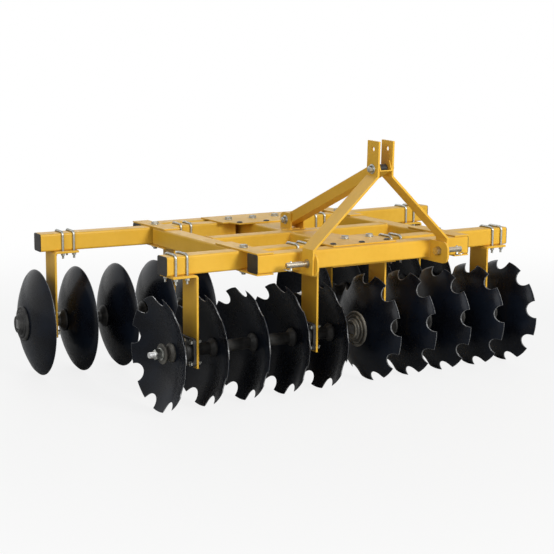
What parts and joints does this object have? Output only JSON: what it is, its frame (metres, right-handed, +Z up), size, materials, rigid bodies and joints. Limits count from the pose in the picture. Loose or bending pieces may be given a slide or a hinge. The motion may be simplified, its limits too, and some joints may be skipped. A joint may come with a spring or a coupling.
{
  "type": "disc harrow",
  "caption": "Mounted tandem disc harrow: notched front and plain rear blades on free-turning gangs, bolted under a square-tube frame with a three-point hitch mast.",
  "frame": {"origin": "on the ground, under the middle of the whole machine", "axes": "+X along the gangs, to the right as seen from the tractor; +Y towards the rear, so the hitch faces -Y; +Z up"},
  "size_m": [2.2824, 1.31, 1.0457],
  "materials": {
    "frame_paint": "semi-gloss yellow-ochre paint",
    "blade_black": "glossy blue-black enamel",
    "black_casting": "black-painted casting",
    "axle_steel": "bright steel",
    "zinc": "bright zinc plate",
    "yellow_zinc": "yellow zinc plate",
    "black_plastic": "matt black moulding"
  },
  "bodies": {
    "frame": {"adjuster_bolts": "zinc", "bottom_corner_plates": "frame_paint", "brace_ears": "frame_paint", "brace_foot_bolt": "zinc", "brace_spacer": "black_plastic", "front_adjuster_plates": "frame_paint", "front_bearing_housings": "black_casting", "front_centre_tube": "frame_paint", "front_cross_tube": "frame_paint", "front_left_gang_tube": "frame_paint", "front_right_gang_tube": "frame_paint", "front_standards": "frame_paint", "front_u_bolts": "zinc", "hitch_lugs": "frame_paint", "left_lower_hitch_pin": "yellow_zinc", "left_mast_bar": "frame_paint", "left_side_tube": "frame_paint", "mast_bolt": "zinc", "mast_brace": "frame_paint", "middle_cross_tube": "frame_paint", "pivot_bolts": "zinc", "rear_adjuster_plates": "frame_paint", "rear_bearing_housings": "black_casting", "rear_centre_tube": "frame_paint", "rear_cross_tube": "frame_paint", "rear_left_gang_tube": "frame_paint", "rear_right_gang_tube": "frame_paint", "rear_standards": "frame_paint", "rear_u_bolts": "zinc", "right_lower_hitch_pin": "yellow_zinc", "right_mast_bar": "frame_paint", "right_side_tube": "frame_paint", "top_corner_plates": "frame_paint", "tube_end_caps": "black_plastic"},
    "front_left_gang": {"front_left_axle": "axle_steel", "front_left_blades": "blade_black", "front_left_end_castings": "black_casting", "front_left_spools": "black_casting"},
    "front_right_gang": {"front_right_axle": "axle_steel", "front_right_blades": "blade_black", "front_right_end_castings": "black_casting", "front_right_spools": "black_casting"},
    "rear_left_gang": {"rear_left_axle": "axle_steel", "rear_left_blades": "blade_black", "rear_left_end_castings": "black_casting", "rear_left_spools": "black_casting"},
    "rear_right_gang": {"rear_right_axle": "axle_steel", "rear_right_blades": "blade_black", "rear_right_end_castings": "black_casting", "rear_right_spools": "black_casting"}
  },
  "joints": [
    {"name": "front_left_gang_spin", "type": "hinge", "parent": "frame", "child": "front_left_gang", "pos_m": [-0.5074, -0.358, 0.2286], "axis": [-1, 0, 0], "continuous": true},
    {"name": "front_right_gang_spin", "type": "hinge", "parent": "frame", "child": "front_right_gang", "pos_m": [0.5074, -0.358, 0.2286], "axis": [1, 0, 0], "continuous": true},
    {"name": "rear_left_gang_spin", "type": "hinge", "parent": "frame", "child": "rear_left_gang", "pos_m": [-0.67048, 0.42014, 0.2286], "axis": [-0.9986, 0.0523, 0], "continuous": true},
    {"name": "rear_right_gang_spin", "type": "hinge", "parent": "frame", "child": "rear_right_gang", "pos_m": [0.67048, 0.42014, 0.2286], "axis": [0.9986, 0.0523, 0], "continuous": true}
  ]
}
